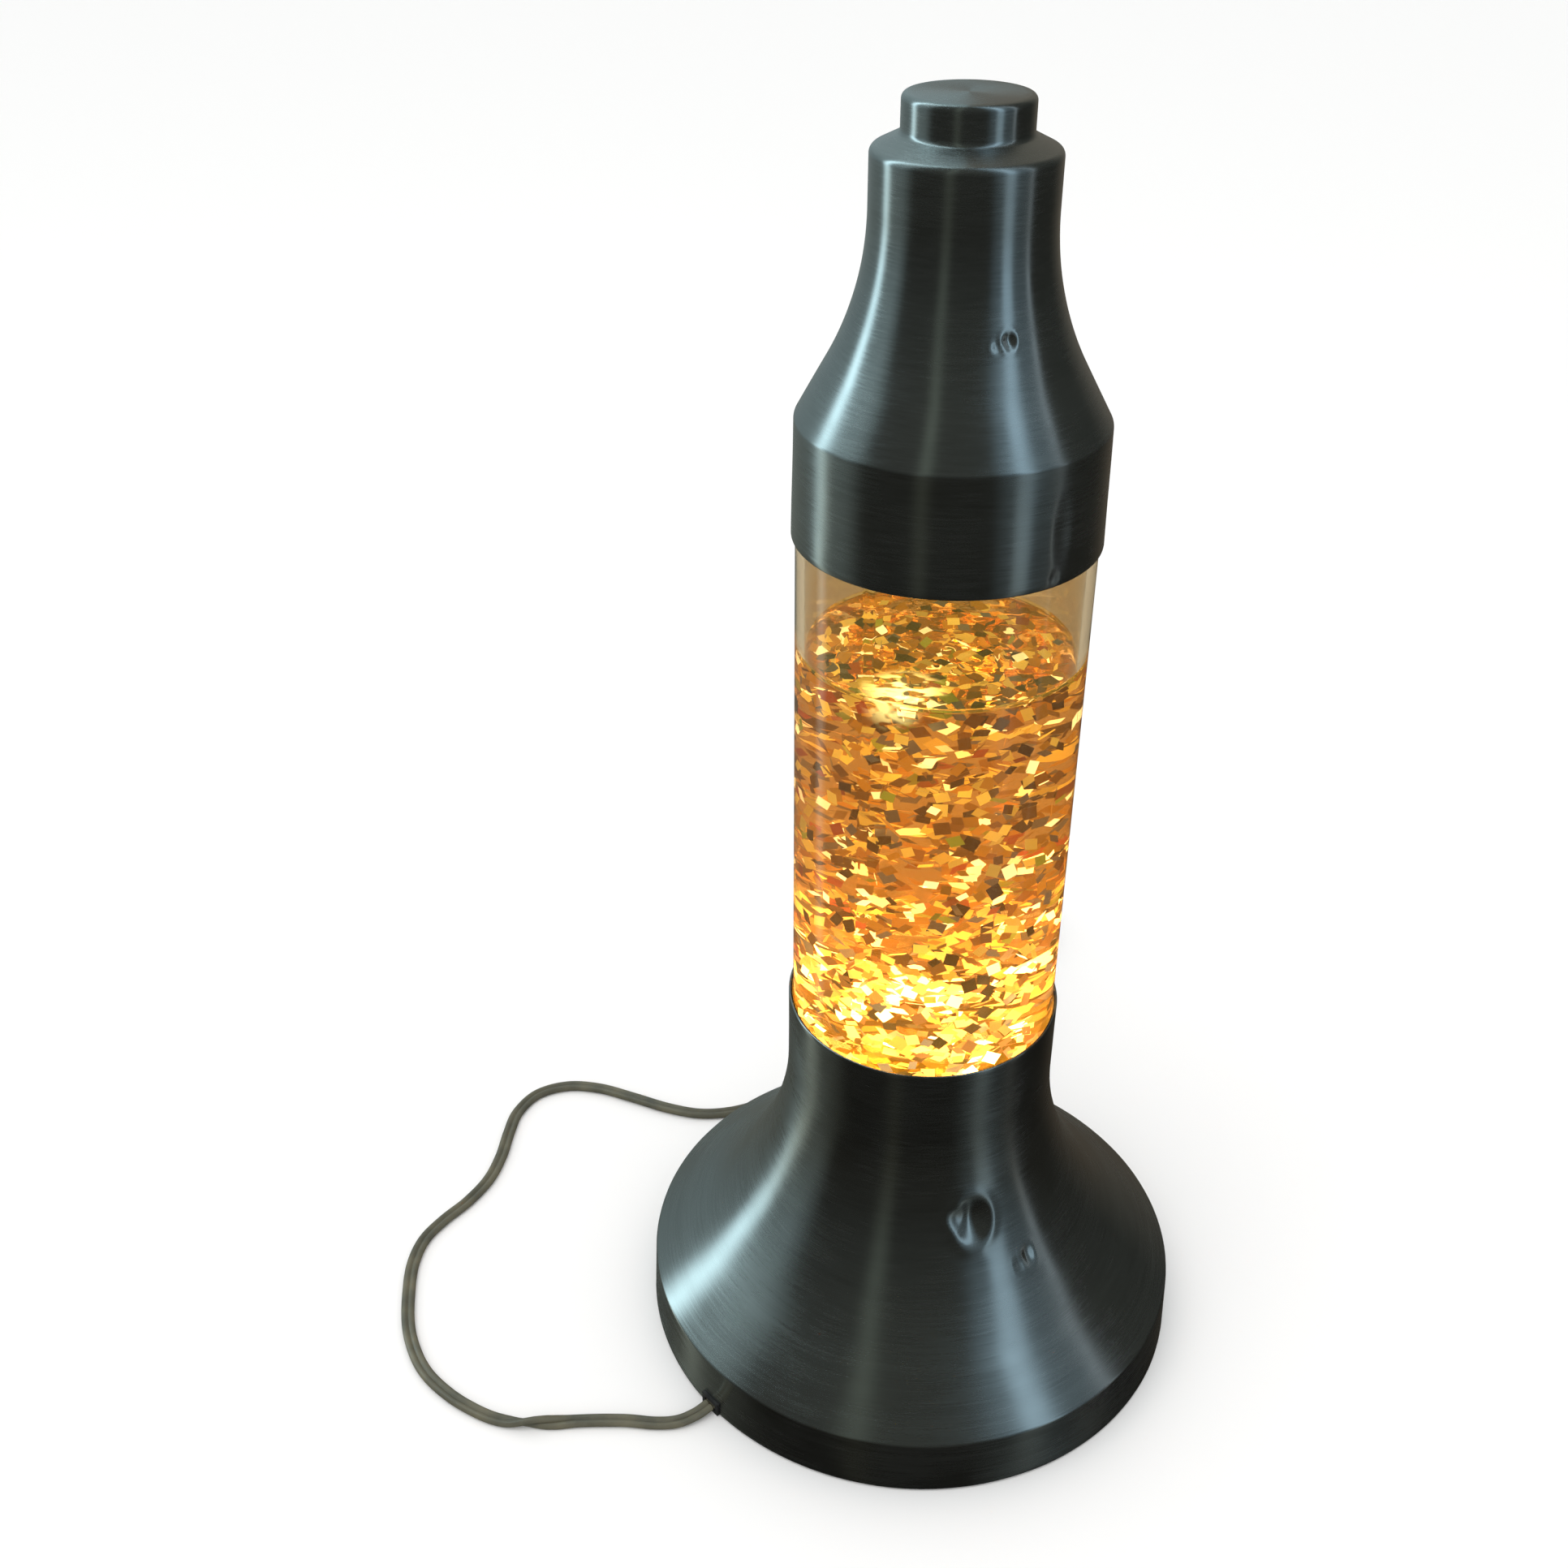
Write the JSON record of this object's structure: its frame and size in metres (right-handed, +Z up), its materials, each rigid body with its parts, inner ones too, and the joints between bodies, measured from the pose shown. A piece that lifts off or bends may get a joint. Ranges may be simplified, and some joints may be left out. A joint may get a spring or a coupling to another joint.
{
  "type": "glitter lamp",
  "caption": "Table glitter lamp: spun aluminium trumpet base, clear cylinder of amber glitter liquid, lift-off aluminium cap, reflector bulb and flat flex with in-line switch.",
  "frame": {"origin": "on the lamp's vertical axis, at the undersides of the feet", "axes": "+Z up along the lamp's axis; the cord leaves at the front left, between -X and -Y"},
  "size_m": [0.2934, 0.353, 0.438],
  "materials": {
    "spun_aluminium": "spun, finely brushed, satin, tinted grey",
    "clear_glass": "clear, polished",
    "amber_liquid": "clear amber liquid with metallised flakes",
    "pressed_steel": "zinc plated",
    "zinc_plate": "zinc plated",
    "brass": "bright",
    "black_rubber": "matte",
    "ceramic": "glazed white",
    "dark_plastic": "moulded, satin",
    "ivory_plastic": "moulded",
    "grey_felt": "pressed felt",
    "flex_sleeve": "semi-gloss flex, olive grey",
    "dark_core": "wire sleeve",
    "pale_core": "wire sleeve",
    "frosted_glass": "inside frosted",
    "tungsten": "fine coiled wire"
  },
  "bodies": {
    "base": {"base_shell": "spun_aluminium", "seat_ring": "pressed_steel", "seat_gasket": "black_rubber", "base_pan": "pressed_steel", "foot_1": "black_rubber", "foot_2": "black_rubber", "foot_3": "black_rubber", "foot_4": "black_rubber", "lampholder_bracket": "zinc_plate", "bracket_rivet_1": "pressed_steel", "bracket_rivet_2": "pressed_steel", "holder_nipple": "zinc_plate", "holder_nut": "zinc_plate", "lampholder_body": "ceramic", "lampholder_shell": "brass", "lampholder_contact": "brass", "cord_grommet": "black_rubber", "cord_inside": "flex_sleeve", "cord_clamp": "zinc_plate", "clamp_screw_1": "zinc_plate", "clamp_screw_2": "zinc_plate", "live_wire": "dark_core", "neutral_wire": "pale_core", "cord_to_switch": "flex_sleeve", "cord_to_coil": "flex_sleeve", "cord_to_plug": "flex_sleeve", "cord_coil": "flex_sleeve", "coil_tie": "black_rubber", "switch_bottom": "dark_plastic", "switch_top": "dark_plastic", "switch_screw_1": "zinc_plate", "switch_screw_2": "zinc_plate", "plug_body": "dark_plastic", "plug_blade_1": "brass", "plug_blade_2": "brass"},
    "vessel": {"glass_bottle": "clear_glass", "glitter_liquid": "amber_liquid", "closure_seal": "black_rubber", "bottle_closure": "ivory_plastic"},
    "cap": {"cap_shell": "spun_aluminium", "cap_liner": "grey_felt"},
    "bulb": {"bulb_glass": "frosted_glass", "bulb_screw_cap": "brass", "bulb_insulator": "dark_plastic", "bulb_contact": "zinc_plate", "bulb_stem": "clear_glass", "bulb_filament": "tungsten"},
    "rocker": {"switch_rocker": "ivory_plastic"}
  },
  "joints": [
    {"name": "vessel_lift", "type": "slide", "parent": "base", "child": "vessel", "axis": [0, 0, 1], "range_m": [0, 0.04]},
    {"name": "cap_lift", "type": "slide", "parent": "vessel", "child": "cap", "axis": [0, 0, 1], "range_m": [0, 0.08]},
    {"name": "bulb_unscrew", "type": "hinge", "parent": "base", "child": "bulb", "pos_m": [0, 0, 0.06], "axis": [0, 0, 1], "range_deg": [0, 1260]},
    {"name": "switch_rock", "type": "hinge", "parent": "base", "child": "rocker", "pos_m": [0, 0.114, 0.0095], "axis": [0, 1, 0], "range_deg": [-16, 0]}
  ]
}
